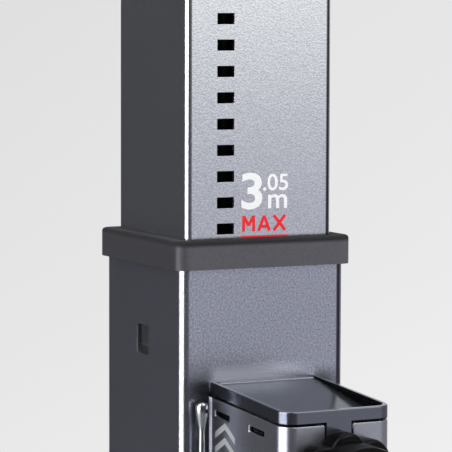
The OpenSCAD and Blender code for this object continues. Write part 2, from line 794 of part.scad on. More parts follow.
// drop of the nose's tip, so that it swings out under the slot's upper edge
nose_in = -inner_face - shaft_y;
nose_tip_drop = latch_rise - sqrt(pow(latch_rise, 2) + pow(nose_in, 2) - pow(nose_tip_y - shaft_y, 2));
pawl_t = slot_w - 0.5;
tail_y = shaft_y - 16;
tail_half = 4;
peg_d = 5;
peg_h = 4;
module latch_pawl() {
    root = pawl_hub_r - 0.6;
    color("#8a8c90") difference() {
        union() {
            side_plate(-rack_x, pawl_t) {
                translate([shaft_y, shaft_z]) circle(pawl_hub_r);
                polygon([[shaft_y - root, shaft_z], [shaft_y - 3, nose_z - 5], [shaft_y - 1, nose_z],
                         [-inner_face, nose_z], [nose_tip_y, nose_z - nose_tip_drop],
                         [nose_tip_y, nose_z - 3.5],
                         [-inner_face - 1, nose_z - 5.4], [-outer_face - 2, nose_z - 9],
                         [shaft_y + root, shaft_z]]);
                translate([tail_y - 6, shaft_z - tail_half]) square([16, 2 * tail_half]);
            }
            // peg that centres the spring
            translate([-rack_x, tail_y, shaft_z - tail_half - peg_h]) cylinder(d = peg_d, h = peg_h + eps);
        }
        x_rod(shaft_d, -rack_x - pawl_t, -rack_x + pawl_t, shaft_y, shaft_z);
        translate([-rack_x, shaft_y, shaft_z]) rotate([180, 0, 0]) cylinder(d = pin_d, h = 12);
    }
}

// Lever: a round bar with a pear-shaped end, keyed to the shaft's outer end
bar_y = shaft_y + 3.6;
module release_lever() {
    r = lever_head_d / 2;
    neck = 3.3 * r;
    color("#d9dbde") difference() {
        union() {
            x_rod(16, lever_x - hub_half, lever_x + hub_half, shaft_y, shaft_z);
            translate([lever_x, bar_y, shaft_z]) cylinder(d = lever_d, h = lever_rise);
            translate([lever_x, bar_y, shaft_z + lever_rise]) rotate_extrude() intersection() {
                union() {
                    circle(r);
                    polygon([[0, -neck], [lever_d / 2, -neck], [r * cos(20), -r * sin(20)], [0, 0]]);
                }
                translate([0, -neck]) square([r, neck + r]);
            }
        }
        x_rod(shaft_d, lever_x - hub_half - 1, lever_x + hub_half + 1, shaft_y, shaft_z);
        translate([lever_x, shaft_y, shaft_z]) rotate([180, 0, 0]) cylinder(d = pin_d, h = 12);
    }
}

// Spring pins that key the lever and the pawl to the shaft, driven in from below
pin_d = 3;
module latch_pins() {
    color("#6a6c70") for (pin = [[lever_x, 8], [-rack_x, pawl_hub_r]])
        translate([pin[0], shaft_y, shaft_z - pin[1]]) cylinder(d = pin_d, h = pin[1] - shaft_d / 2);
}

// Compression spring under the pawl's tail: a coil whose end turns lie closer
wire_d = 1.4;
coil_r = peg_d / 2 + wire_d / 2 + 0.5;
turns = 8;
turn_steps = 16;
spring_z0 = house_bottom_z + sheet + wire_d / 2;
spring_z1 = shaft_z - tail_half - wire_d / 2;
end_rise = wire_d + 0.5;
free_rise = (spring_z1 - spring_z0 - 2 * end_rise) / (turns - 2);
function coil_rise(t) = (min(t, 1) + max(0, t - turns + 1)) * end_rise
    + max(0, min(t - 1, turns - 2)) * free_rise;
module latch_spring() {
    n = turns * turn_steps;
    path = [for (i = [0 : n]) let (a = 360 * i / turn_steps)
        [-rack_x + coil_r * cos(a), tail_y + coil_r * sin(a), spring_z0 + coil_rise(i / turn_steps)]];
    color("#8a8c90") swept_wire(path, wire_d / 2, 8);
}

// Tube of the given radius and number of sides along a path that climbs round +Z
module swept_wire(path, r, sides) {
    n = len(path);
    points = [for (i = [0 : n - 1])
        let (d = path[min(i + 1, n - 1)] - path[max(i - 1, 0)],
             u = cross(d, [0, 0, 1]) / norm(cross(d, [0, 0, 1])), v = cross(u, d) / norm(d))
        for (k = [0 : sides - 1]) path[i] + r * (cos(360 * k / sides) * u + sin(360 * k / sides) * v)];
    walls = [for (i = [0 : n - 2], k = [0 : sides - 1], h = [0, 1])
        let (a = i * sides + k, b = i * sides + (k + 1) % sides)
        h == 0 ? [a, b, b + sides] : [a, b + sides, a + sides]];
    first_end = [for (k = [1 : sides - 2]) [0, k + 1, k]];
    last_end = [for (k = [1 : sides - 2]) [(n - 1) * sides, (n - 1) * sides + k, (n - 1) * sides + k + 1]];
    polyhedron(points, concat(walls, first_end, last_end));
}

foot_plate();
foot_gussets();
outer_post();
guide_bush();
collar();
travel_stop_screws();
housing_body();
housing_screws();
lid();
nut_plate();
nut_plate_rivets();
clamp_nut();
knob_washer();
shaft_bushes();
gas_spring_clevis();
clevis_pin();
gas_spring_rod();
inner_post();
guide_shoe();
head_cap();
arm_tubes();
gas_spring_cylinder();
cylinder_spacers();
cylinder_bolt();
cylinder_nut();
release_lever();
latch_shaft();
latch_pawl();
latch_pins();
shaft_ring();
latch_spring();
clamp_pad();
clamp_stud();
clamp_knob();
knob_cap();
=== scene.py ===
import math
import bpy
import bmesh
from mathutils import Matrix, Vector


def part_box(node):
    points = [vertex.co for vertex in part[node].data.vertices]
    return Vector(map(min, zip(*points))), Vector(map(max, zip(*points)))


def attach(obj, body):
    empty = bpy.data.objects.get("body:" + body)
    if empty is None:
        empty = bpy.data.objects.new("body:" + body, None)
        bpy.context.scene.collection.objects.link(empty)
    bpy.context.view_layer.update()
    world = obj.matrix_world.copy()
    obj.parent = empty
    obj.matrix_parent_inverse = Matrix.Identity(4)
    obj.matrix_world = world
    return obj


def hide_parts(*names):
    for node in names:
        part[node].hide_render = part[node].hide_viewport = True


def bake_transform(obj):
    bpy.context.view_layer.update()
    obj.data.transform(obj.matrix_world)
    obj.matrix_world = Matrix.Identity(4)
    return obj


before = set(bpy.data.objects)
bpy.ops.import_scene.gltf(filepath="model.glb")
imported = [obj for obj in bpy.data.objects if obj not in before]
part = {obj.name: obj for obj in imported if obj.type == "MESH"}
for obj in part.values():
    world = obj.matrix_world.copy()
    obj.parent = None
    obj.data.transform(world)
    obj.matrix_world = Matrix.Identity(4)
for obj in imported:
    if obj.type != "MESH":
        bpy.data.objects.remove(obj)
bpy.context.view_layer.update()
bpy.ops.object.select_all(action="DESELECT")

# ---- Camera ----
# Stands to the left of the post's front, a little above the collar, and looks slightly down at
# the height mark, the collar and the latch housing.
focal_share = 2667.3 / 452  # focal length over picture width
camera_data = bpy.data.cameras.new("camera")
camera_data.sensor_width = 36
camera_data.lens = 36 * focal_share
camera_data.clip_start = 0.05
camera_data.clip_end = 50
camera = bpy.data.objects.new("camera", camera_data)
bpy.context.scene.collection.objects.link(camera)
camera.location = (-0.671756, -1.351696, 1.061452)
camera.rotation_euler = [math.radians(a) for a in (85.1234, -0.1739, -26.4616)]
bpy.context.scene.camera = camera

# ---- Studio walls and lamps ----
# A pale room. Gloss sees its walls: a tall white screen on the left, a paler wall on the right of
# the front, and dark cloths behind the camera and behind the post on the left.
screen_brightness = 16
soft_box_brightness = (3.0, 3.0, 3.0)
dim_room = (0.046, 0.046, 0.050)
bpy.context.scene.view_settings.view_transform = "Standard"
room = bpy.data.worlds.new("room")
bpy.context.scene.world = room
room.use_nodes = True
room_tree = room.node_tree


def put_in(tree, socket, term):
    """Gives a socket a value, or links another socket to it."""
    if isinstance(term, (int, float, tuple, list)):
        socket.default_value = term
    else:
        tree.links.new(term, socket)


def maths(tree, operation, *terms, kind="ShaderNodeMath"):
    node = tree.nodes.new(kind)
    node.operation = operation
    for socket, term in zip(node.inputs, terms):
        put_in(tree, socket, term)
    return node.outputs[0]


def vector_maths(tree, operation, *terms):
    return maths(tree, operation, *terms, kind="ShaderNodeVectorMath")


def scaled(tree, vector, factor):
    node = tree.nodes.new("ShaderNodeVectorMath")
    node.operation = "SCALE"
    put_in(tree, node.inputs[0], vector)
    put_in(tree, node.inputs["Scale"], factor)
    return node.outputs[0]


def ranged(tree, value, low, high, near, far, smooth=True):
    """A value that goes from near to far while another goes from low to high."""
    node = tree.nodes.new("ShaderNodeMapRange")
    if smooth:
        node.interpolation_type = "SMOOTHSTEP"
    for label, term in (("Value", value), ("From Min", low), ("From Max", high),
                        ("To Min", near), ("To Max", far)):
        put_in(tree, node.inputs[label], term)
    return node.outputs[0]


def mixed(tree, mask, below, above):
    """One colour where the mask is 0, and the other where it is 1."""
    node = tree.nodes.new("ShaderNodeMix")
    node.data_type = "RGBA"
    for label, term in (("Factor", mask), ("A", below), ("B", above)):
        put_in(tree, node.inputs[label], term)
    return node.outputs["Result"]


# the way a ray goes, counted from the front, and its turn round the room
towards = room_tree.nodes.new("ShaderNodeTexCoord").outputs["Generated"]
from_front = room_tree.nodes.new("ShaderNodeSeparateXYZ")
room_tree.links.new(vector_maths(room_tree, "MULTIPLY", towards, (-1, -1, 1)), from_front.inputs[0])
heading = from_front.outputs
turn = maths(room_tree, "ARCTAN2", heading["X"], heading["Y"])


def wall_shades(value, low, high, stops):
    """A brightness that follows a value through the stops (place, level, blueness)."""
    ramp = room_tree.nodes.new("ShaderNodeValToRGB")
    room_tree.links.new(ranged(room_tree, value, low, high, 0, 1, smooth=False), ramp.inputs["Fac"])
    while len(ramp.color_ramp.elements) < len(stops):
        ramp.color_ramp.elements.new(0.5)
    for stop, (place, level, *blue) in zip(ramp.color_ramp.elements, stops):
        stop.position = (place - low) / (high - low)
        stop.color = (level, level, level * (blue[0] if blue else 1), 1)
    return ramp.outputs["Color"]


# round the room: (degrees from the front, level)
turns = [(-180, 0.02), (-150, 0.16), (-110, 0.05), (-62, 0.05), (-46, 0.118), (-22, 0.126),
         (-9, 0.02), (14, 0.001), (52, 0.001), (60, 1.0), (106, 1.0), (118, 0.012), (128, 0.001),
         (170, 0.001)]
round_the_room = wall_shades(
    turn, -math.pi, math.pi, [(math.radians(degrees), level) for degrees, level in turns])
# from the floor up, by the height of the direction
from_floor_up = wall_shades(heading["Z"], -1, 1, [
    (-1, 0.2), (-0.3, 0.27), (-0.158, 0.28, 1.1), (-0.13, 0.19, 1.13), (-0.11, 0.18, 1.15),
    (-0.065, 0.18, 1.2), (-0.02, 0.38, 1.0), (0.02, 0.6, 0.95), (0.1, 0.66), (0.18, 0.45),
    (0.35, 0.18), (0.65, 0.3), (1, 0.3)])
wall = vector_maths(room_tree, "MULTIPLY", round_the_room, from_floor_up)
bright_wall = scaled(room_tree, wall, screen_brightness)
# a soft box over the front on the right, and the dim room behind it all
box_turn = wall_shades(turn, -math.pi, math.pi, [
    (math.radians(degrees), level) for degrees, level in ((-112, 0), (-80, 1), (-15, 1), (6, 0))])
box_rise = wall_shades(heading["Z"], 0, 1, [(0.72, 0), (0.82, 1), (0.95, 1), (1, 0.3)])
soft_box = vector_maths(room_tree, "MULTIPLY", box_turn, box_rise)
box_and_room = vector_maths(room_tree, "MULTIPLY_ADD", soft_box, soft_box_brightness, dim_room)
seen_in_gloss = vector_maths(room_tree, "ADD", bright_wall, box_and_room)
# what lights a matt surface, and what the camera sees behind the post
all_round = wall_shades(heading["Z"], -1, 1, [
    (-1, 0.40), (-0.2, 0.48), (0.25, 0.45), (0.7, 0.24), (1, 0.2)])
pale_wall = wall_shades(heading["Z"], -0.2, 0.01, [(-0.2, 0.87), (-0.1, 0.812), (0.01, 0.772)])
to_the_right = ranged(room_tree, heading["X"], -0.53, -0.36, 1.02, 0.955, smooth=False)
ray = room_tree.nodes.new("ShaderNodeLightPath").outputs
straight_through = maths(room_tree, "MAXIMUM", ray["Is Camera Ray"], ray["Is Transmission Ray"])
gloss_or_not = mixed(room_tree, ray["Is Glossy Ray"], all_round, seen_in_gloss)
room_tree.links.new(
    mixed(room_tree, straight_through, gloss_or_not, scaled(room_tree, pale_wall, to_the_right)),
    room_tree.nodes["Background"].inputs["Color"])


def soft_lamp(name, place, aim, size, watts):
    lamp = bpy.data.lights.new(name, "AREA")
    lamp.shape = "RECTANGLE"
    lamp.size, lamp.size_y = size
    lamp.energy = watts
    holder = bpy.data.objects.new(name, lamp)
    bpy.context.scene.collection.objects.link(holder)
    holder.location = place
    holder.rotation_euler = (Vector(aim) - Vector(place)).to_track_quat("-Z", "Y").to_euler()
    holder.visible_glossy = False


soft_lamp("front_lamp", (1.15, -2.0, 2.3), (0, 0, 0.9), (1.3, 1.3), 52)
soft_lamp("top_lamp", (0.1, -0.35, 3.2), (0, 0, 0.9), (1.6, 1.2), 12)
soft_lamp("back_lamp", (-0.9, 2.4, 2.2), (0, 0, 0.9), (1.4, 1.4), 22)

# ---- Floor ----
# Pale floor of 3.2 m radius that keeps the post's shadow. It fades out towards its rim, so that
# it runs into the room's colour.
floor_radius, fade_start, fade_end = 3.2, 1.0, 3.1
bpy.ops.mesh.primitive_circle_add(
    vertices=96, radius=floor_radius, fill_type="NGON", location=(0, 0, -0.0005))
floor = bpy.context.object
floor.name = "floor"
floor_paint = bpy.data.materials.new("floor_paint")
floor_paint.use_nodes = True
floor_tree = floor_paint.node_tree
floor_shader = floor_tree.nodes["Principled BSDF"]
floor_shader.inputs["Base Color"].default_value = (0.62, 0.62, 0.625, 1)
floor_shader.inputs["Roughness"].default_value = 0.8
from_middle = floor_tree.nodes.new("ShaderNodeVectorMath")
from_middle.operation = "LENGTH"
floor_place = floor_tree.nodes.new("ShaderNodeTexCoord")
floor_tree.links.new(floor_place.outputs["Object"], from_middle.inputs[0])
fade = floor_tree.nodes.new("ShaderNodeMixShader")
rim = ranged(floor_tree, from_middle.outputs["Value"], fade_start, fade_end, 0, 1)
floor_tree.links.new(rim, fade.inputs["Fac"])
floor_tree.links.new(floor_shader.outputs[0], fade.inputs[1])
floor_tree.links.new(floor_tree.nodes.new("ShaderNodeBsdfTransparent").outputs[0], fade.inputs[2])
floor_tree.links.new(fade.outputs[0], floor_tree.nodes["Material Output"].inputs["Surface"])
floor.data.materials.append(floor_paint)
bpy.ops.object.select_all(action="DESELECT")


# ---- Foot plate ----
# Cut from 8 mm steel plate with four bolt holes. The post is welded on it, and plate and webs
# are coated black after that.
def srgb(red, green, blue):
    """A colour as a paint card gives it, turned to the shader's linear values."""
    return [*[(c / 255 / 12.92 if c <= 10 else ((c / 255 + 0.055) / 1.055) ** 2.4)
              for c in (red, green, blue)], 1]


def overlap(tree, first, *others):
    """The product of masks."""
    for other in others:
        first = maths(tree, "MULTIPLY", first, other)
    return first


def place_of(tree):
    """The X, Y and Z sockets of where a point is on the object."""
    axes = tree.nodes.new("ShaderNodeSeparateXYZ")
    tree.links.new(tree.nodes.new("ShaderNodeTexCoord").outputs["Object"], axes.inputs[0])
    return axes.outputs


def facing_of(tree):
    """The X, Y and Z sockets of the way the surface faces."""
    axes = tree.nodes.new("ShaderNodeSeparateXYZ")
    tree.links.new(tree.nodes.new("ShaderNodeNewGeometry").outputs["Normal"], axes.inputs[0])
    return axes.outputs


def new_group(name, inputs, outputs):
    """An empty node group with these inputs (name, value) and outputs (name, kind), and the
    sockets to link inside it."""
    group = bpy.data.node_groups.new(name, "ShaderNodeTree")
    for label, value in inputs:
        socket = group.interface.new_socket(label, in_out="INPUT", socket_type="NodeSocketFloat")
        socket.default_value = value
    for label, kind in outputs:
        group.interface.new_socket(label, in_out="OUTPUT", socket_type=kind)
    group_in = group.nodes.new("NodeGroupInput")
    group_out = group.nodes.new("NodeGroupOutput")
    return group, group_in.outputs, group_out.inputs


def use_group(tree, group, values):
    """Puts a node group into a material, with its input values by name."""
    node = tree.nodes.new("ShaderNodeGroup")
    node.node_tree = group
    for label, value in values.items():
        node.inputs[label].default_value = value
    return node.outputs


# Fine mottle of a sprayed or moulded surface: a shade near 1 and a bumped normal
mottle, m_in, m_out = new_group(
    "surface_mottle",
    (("Grains per metre", 900), ("Shade range", 0.06), ("Bump", 0.1), ("Cloud range", 0.04)),
    (("Shade", "NodeSocketFloat"), ("Normal", "NodeSocketVector")))
m_place = mottle.nodes.new("ShaderNodeTexCoord")
m_grain = mottle.nodes.new("ShaderNodeTexNoise")
m_grain.inputs["Detail"].default_value = 2
m_grain.inputs["Roughness"].default_value = 0.6
mottle.links.new(m_place.outputs["Object"], m_grain.inputs["Vector"])
mottle.links.new(m_in["Grains per metre"], m_grain.inputs["Scale"])
m_cloud = mottle.nodes.new("ShaderNodeTexNoise")
m_cloud.inputs["Scale"].default_value = 9
m_cloud.inputs["Detail"].default_value = 3
mottle.links.new(m_place.outputs["Object"], m_cloud.inputs["Vector"])
noise_stretch = 3.2  # noise keeps near its middle, so this makes it fill about -1 to 1
m_shade = 1
for noise, amount in ((m_grain, "Shade range"), (m_cloud, "Cloud range")):
    centred = maths(mottle, "MULTIPLY_ADD", noise.outputs["Fac"], noise_stretch, -noise_stretch / 2)
    m_shade = maths(mottle, "MULTIPLY_ADD", centred, m_in[amount], m_shade)
mottle.links.new(m_shade, m_out["Shade"])
m_bump = mottle.nodes.new("ShaderNodeBump")
m_bump.inputs["Distance"].default_value = 0.0002
mottle.links.new(m_in["Bump"], m_bump.inputs["Strength"])
mottle.links.new(m_grain.outputs["Fac"], m_bump.inputs["Height"])
mottle.links.new(m_bump.outputs["Normal"], m_out["Normal"])


def new_finish(name, colour, metallic, roughness, grains, shade, bump, cloud=0.04, specular=0.5):
    """A finish whose mottle shades its colour and bumps its surface."""
    finish = bpy.data.materials.new(name + "_finish")
    finish.use_nodes = True
    tree = finish.node_tree
    shader = tree.nodes["Principled BSDF"]
    shader.inputs["Base Color"].default_value = colour
    shader.inputs["Metallic"].default_value = metallic
    shader.inputs["Roughness"].default_value = roughness
    shader.inputs["Specular IOR Level"].default_value = specular
    found = use_group(tree, mottle, {
        "Grains per metre": grains, "Shade range": shade, "Bump": bump, "Cloud range": cloud})
    tree.links.new(scaled(tree, colour[:3], found["Shade"]), shader.inputs["Base Color"])
    tree.links.new(found["Normal"], shader.inputs["Normal"])
    return finish


def lay_over(finish, mask, colour):
    """Covers a mottled finish with another colour where the mask is 1."""
    tree = finish.node_tree
    base = tree.nodes["Principled BSDF"].inputs["Base Color"]
    tree.links.new(mixed(tree, mask, base.links[0].from_socket, colour), base)


def dull(finish, mask, roughness):
    """Brings a finish to this roughness where the mask is 1."""
    tree = finish.node_tree
    rough = tree.nodes["Principled BSDF"].inputs["Roughness"]
    tree.links.new(ranged(tree, mask, 0, 1, rough.default_value, roughness, smooth=False), rough)


# Painted shade along a front's upright corner, on the side away from the lever, where the corner
# reflects the dark room: a mask from 0 to 1
corner_shade_group, t_in, t_out = new_group(
    "painted_corner_shade_mask", (("Flat half", 0.045),), (("Mask", "NodeSocketFloat"),))
t_place, t_facing = place_of(corner_shade_group), facing_of(corner_shade_group)
corner_fade, faces_front = 0.001, -0.88
t_across = ranged(corner_shade_group, t_place["X"], t_in["Flat half"],
                  maths(corner_shade_group, "ADD", t_in["Flat half"], corner_fade), 0, 1)
t_forward = maths(corner_shade_group, "LESS_THAN", t_facing["Y"], faces_front)
corner_shade_group.links.new(overlap(corner_shade_group, t_across, t_forward), t_out["Mask"])


def paint_corner_shade(finish, flat_half, shade):
    """Lays painted corner shade on a finish, from this far off the middle outward."""
    mask = use_group(finish.node_tree, corner_shade_group, {"Flat half": flat_half})["Mask"]
    lay_over(finish, mask, shade)


def dress(node, finish):
    part[node].data.materials.clear()
    part[node].data.materials.append(finish)


def ease_edges(node, width, segments=2, clamp=True):
    """Closes the loose triangles, clears flat faces of inner edges, rounds the sharp edges and
    evens out the shading, all as live modifiers."""
    weld = part[node].modifiers.new("weld", "WELD")
    weld.merge_threshold = 0.000002
    clear_flats = part[node].modifiers.new("clear_flats", "DECIMATE")
    clear_flats.decimate_type = "DISSOLVE"
    clear_flats.angle_limit = math.radians(0.3)
    ease = part[node].modifiers.new("ease", "BEVEL")
    ease.width = width
    ease.segments = segments
    ease.limit_method = "ANGLE"
    ease.angle_limit = math.radians(50)
    ease.use_clamp_overlap = clamp
    even = part[node].modifiers.new("even", "WEIGHTED_NORMAL")
    even.weight = 80


# Pale dust that settles near the floor and on what faces up: a mask from 0 to 1
dust, d_in, d_out = new_group(
    "settled_dust", (("Top height", 0.12),), (("Mask", "NodeSocketFloat"),))
d_place, d_facing = place_of(dust), facing_of(dust)
d_patch = dust.nodes.new("ShaderNodeTexNoise")
d_patch.inputs["Scale"].default_value = 45
d_patch.inputs["Detail"].default_value = 6
dust.links.new(dust.nodes.new("ShaderNodeTexCoord").outputs["Object"], d_patch.inputs["Vector"])
d_low = ranged(dust, d_place["Z"], 0, d_in["Top height"], 1, 0, smooth=False)
d_flat = ranged(dust, d_facing["Z"], 0.2, 1, 0.25, 1, smooth=False)
d_patchy = ranged(dust, d_patch.outputs["Fac"], 0.35, 0.75, 0, 1, smooth=False)
dust.links.new(overlap(dust, d_low, d_flat, d_patchy), d_out["Mask"])


def add_dust(finish, colour, top_height):
    """Lays dust of this colour over a mottled finish, which it also dulls."""
    mask = use_group(finish.node_tree, dust, {"Top height": top_height})["Mask"]
    lay_over(finish, mask, colour)
    dull(finish, mask, 0.8)


black_paint = new_finish(
    "black_paint", srgb(46, 46, 49), metallic=0.1, roughness=0.38, grains=520, shade=0.16,
    bump=0.35)
add_dust(black_paint, srgb(132, 126, 117), 0.09)
dress("foot_plate", black_paint)
ease_edges("foot_plate", 0.0008)

# ---- Gussets ----
# Four webs of 6 mm plate that stiffen the post's foot, one in the middle of each side. They are
# welded and coated with it.
dress("foot_gussets", black_paint)
ease_edges("foot_gussets", 0.0005)

# ---- Outer post ----
# Square steel tube, sprayed with a grey metal paint that dries with a fine grain. It has a clip
# window in each side and the latch's window in front.
grey_paint = new_finish(
    "grey_paint", srgb(174, 177, 190), metallic=0.87, roughness=0.22, grains=950, shade=0.5,
    bump=0.2, cloud=0.05)
# Painted shade, standing in for the housing's shadow and dark reflection, lies on the post's front
# beside the housing: deepest at the housing's side, gone a finger's width away, and none above the
# lid or below.
grey_tree = grey_paint.node_tree
grey_place = place_of(grey_tree)
to_either_side = maths(grey_tree, "ABSOLUTE", grey_place["X"])
on_front = ranged(grey_tree, grey_place["Y"], -0.0500, -0.0478, 1, 0)
lay_over(grey_paint, overlap(
    grey_tree, on_front,
    ranged(grey_tree, to_either_side, 0.036, 0.050, 0.8, 0.3),  # thinner towards the corner
    ranged(grey_tree, to_either_side, 0.030, 0.034, 0, 1),  # none behind the housing
    ranged(grey_tree, grey_place["Z"], 0.849, 0.859, 1, 0),  # its upper end
    ranged(grey_tree, grey_place["Z"], 0.700, 0.740, 0, 1)), srgb(24, 25, 28))  # its lower end
# Just above the lid, most of all on the lever's side, the paint is made lighter: a painted
# reflection of the lit tray.
lay_over(grey_paint, overlap(
    grey_tree, on_front,
    ranged(grey_tree, to_either_side, 0.028, 0.036, 1, 0),  # as wide as the lid
    ranged(grey_tree, grey_place["X"], 0.006, 0.030, 1, 0.08),  # fainter away from the lever
    ranged(grey_tree, grey_place["Z"], 0.8545, 0.8632, 1, 0),  # its upper end
    ranged(grey_tree, grey_place["Z"], 0.8470, 0.8500, 0, 1)), srgb(240, 243, 255))  # its lower end
# painted shade along the front's corner on the side away from the lever
paint_corner_shade(grey_paint, 0.0450, srgb(66, 67, 74))
dress("outer_post", grey_paint)
ease_edges("outer_post", 0.0006)

# ---- Foot welds ----
# Fillet welds along the post's foot and both edges of each gusset, laid as a row of small
# overlapping pools and coated with the plate.
bead_radius, pool_pitch = 0.0034, 0.0021
crest_swell, end_taper = 1.16, 0.55


def only(mesh, chosen_verts=(), chosen_edges=(), chosen_faces=()):
    """In edit mode, selects these and nothing else."""
    for item in [*mesh.verts, *mesh.edges, *mesh.faces]:
        item.select = False
    for item in [*chosen_verts, *chosen_edges, *chosen_faces]:
        item.select_set(True)
    mesh.select_flush_mode()
    bmesh.update_edit_mesh(bpy.context.object.data)


def settle(thing):
    """Puts a finished object's place, turn and size into its mesh."""
    bpy.ops.object.select_all(action="DESELECT")
    thing.select_set(True)
    bpy.context.view_layer.objects.active = thing
    bpy.ops.object.transform_apply(location=True, rotation=True, scale=True)
    return thing


def join(name, things):
    bpy.ops.object.select_all(action="DESELECT")
    for thing in things:
        thing.select_set(True)
    bpy.context.view_layer.objects.active = things[0]
    if len(things) > 1:
        bpy.ops.object.join()
    whole = bpy.context.object
    whole.name = whole.data.name = name
    return whole


def weld_bead(start, end):
    """A bead of ripples from one point to the other."""
    run = Vector(end) - Vector(start)
    bpy.ops.mesh.primitive_cylinder_add(
        vertices=10, radius=bead_radius, depth=run.length, end_fill_type="TRIFAN")
    bead = bpy.context.object
    bpy.ops.object.mode_set(mode="EDIT")
    bpy.ops.mesh.select_mode(type="EDGE")
    mesh = bmesh.from_edit_mesh(bead.data)
    long_edges = [e for e in mesh.edges if abs(e.verts[0].co.z - e.verts[1].co.z) > run.length / 2]
    only(mesh, chosen_edges=long_edges)
    bpy.ops.mesh.subdivide(number_cuts=2 * round(run.length / pool_pitch) - 1)
    bpy.ops.mesh.select_mode(type="VERT")
    mesh = bmesh.from_edit_mesh(bead.data)
    heights = sorted({round(v.co.z, 6) for v in mesh.verts})
    for rings, scale in ((heights[1:-1:2], crest_swell), ((heights[0], heights[-1]), end_taper)):
        only(mesh, chosen_verts=[v for v in mesh.verts if round(v.co.z, 6) in rings])
        bpy.ops.transform.resize(value=(scale, scale, 1))
    bpy.ops.object.mode_set(mode="OBJECT")
    bpy.ops.object.shade_smooth_by_angle(angle=math.radians(60))
    bead.rotation_euler = run.to_track_quat("Z", "Y").to_euler()
    bead.location = (Vector(start) + Vector(end)) / 2
    return settle(bead)


# the beads stand a millimetre off the post's face, so that none reaches through its wall
bead_line, plate_top = 0.0515, 0.008
post_run = (0.0045, 0.0465)
gusset_face, gusset_top, gusset_tip, corner_gap = 0.003, 0.066, 0.083, 0.003
beads = []
for quarter in range(4):
    side = []
    for hand in (-1, 1):
        near, far, web = hand * post_run[0], hand * post_run[1], hand * gusset_face
        for start, end in (
                ((near, -bead_line, plate_top), (far, -bead_line, plate_top)),
                ((web, -bead_line, plate_top + corner_gap), (web, -bead_line, gusset_top)),
                ((web, -bead_line - corner_gap, plate_top), (web, -gusset_tip, plate_top))):
            side.append(weld_bead(start, end))
    run = join("side", side)
    run.rotation_euler = (0, 0, quarter * math.pi / 2)
    beads.append(settle(run))
foot_welds = join("foot_welds", beads)
foot_welds.data.materials.append(black_paint)
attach(foot_welds, "post_base")

# ---- Travel stop screws ----
# Two button-head screws of zinc-plated steel in the post's rear wall. The guide shoe stops
# against them at full height.
zinc_steel = new_finish(
    "zinc_steel", srgb(186, 188, 190), metallic=1, roughness=0.28, grains=1100, shade=0.10,
    bump=0.08, cloud=0.16)
dress("travel_stop_screws", zinc_steel)
ease_edges("travel_stop_screws", 0.0003)

# ---- Guide bush ----
# Dark nylon liner between the posts; its clips show in the windows of the outer post. Shade is
# painted black on them below a sloping line and along their rear edge.
dark_nylon = new_finish(
    "dark_nylon", srgb(48, 47, 52), metallic=0, roughness=0.42, grains=700, shade=0.08, bump=0.12)
nylon_tree = dark_nylon.node_tree
nylon_place = place_of(nylon_tree)
clip_slope, clip_foot, clip_start, clip_rear = -0.23, 0.8662, 0.8690, 0.0045
# painted shade: near-black below a sloping line across the clips and along their rear edge
sloped_height = maths(nylon_tree, "MULTIPLY_ADD", nylon_place["Y"], clip_slope, nylon_place["Z"])
painted_clip_shade = maths(nylon_tree, "MAXIMUM",
                   ranged(nylon_tree, sloped_height, clip_foot, clip_start, 1, 0, smooth=False),
                   maths(nylon_tree, "GREATER_THAN", nylon_place["Y"], clip_rear))
lay_over(dark_nylon, painted_clip_shade, srgb(5, 5, 6))
dull(dark_nylon, painted_clip_shade, 1)
dress("guide_bush", dark_nylon)
ease_edges("guide_bush", 0.0004)

# ---- Collar ----
# Moulded charcoal plastic with a fine texture, pressed over the outer post's rim.
# Its mouth and top are painted near-black as shade, darkest next to the inner post.
charcoal = srgb(87, 86, 92)
charcoal_moulding = new_finish(
    "charcoal_moulding", charcoal, metallic=0, roughness=0.36, specular=0.25, grains=900,
    shade=0.16, bump=0.08)
collar_shade_moulding = new_finish(
    "collar_shade_moulding", charcoal, metallic=0, roughness=0.29, specular=0.25, grains=900, shade=0.16,
    bump=0.08)
collar_shade_tree = collar_shade_moulding.node_tree
collar_shade_place = place_of(collar_shade_tree)
# painted shade over the collar's top, darkest at the inner post
from_axis = maths(collar_shade_tree, "MAXIMUM", maths(collar_shade_tree, "ABSOLUTE", collar_shade_place["X"]),
                  maths(collar_shade_tree, "ABSOLUTE", collar_shade_place["Y"]))
painted_mouth_shade = overlap(collar_shade_tree, ranged(collar_shade_tree, from_axis, 0.0455, 0.0545, 1, 0.85, smooth=False),
                 ranged(collar_shade_tree, collar_shade_place["Z"], 0.9260, 0.9280, 0, 0.96, smooth=False))
lay_over(collar_shade_moulding, painted_mouth_shade, srgb(10, 10, 11))
dull(collar_shade_moulding, painted_mouth_shade, 0.8)
# painted shade along the front's corner on the side away from the lever
paint_corner_shade(collar_shade_moulding, 0.0503, srgb(54, 54, 58))
dress("collar", collar_shade_moulding)

# ---- Latch housing ----
# Folded sheet steel, sprayed with the post's grey metal paint in a darker shade. Its folds are
# round, so they catch the light.
dark_grey_paint = new_finish(
    "dark_grey_paint", srgb(172, 174, 184), metallic=0.88, roughness=0.28, grains=900, shade=0.14,
    bump=0.03, cloud=0.04)
dress("housing_body", dark_grey_paint)
ease_edges("housing_body", 0.0007, 3, False)

# ---- Housing screws ----
# Four zinc-plated screws through the housing's inner flanges, which hold it to the post's
# front.
dress("housing_screws", zinc_steel)

# ---- Shaft bushes ----
# Two turned acetal bushes, pressed into the housing's sides. The latch shaft turns in them.
# Their collars keep the lever and the ring off the sheet.
ivory_acetal = new_finish(
    "ivory_acetal", srgb(206, 200, 186), metallic=0, roughness=0.36, grains=900, shade=0.05,
    bump=0.06)
dress("shaft_bushes", ivory_acetal)
ease_edges("shaft_bushes", 0.0003)
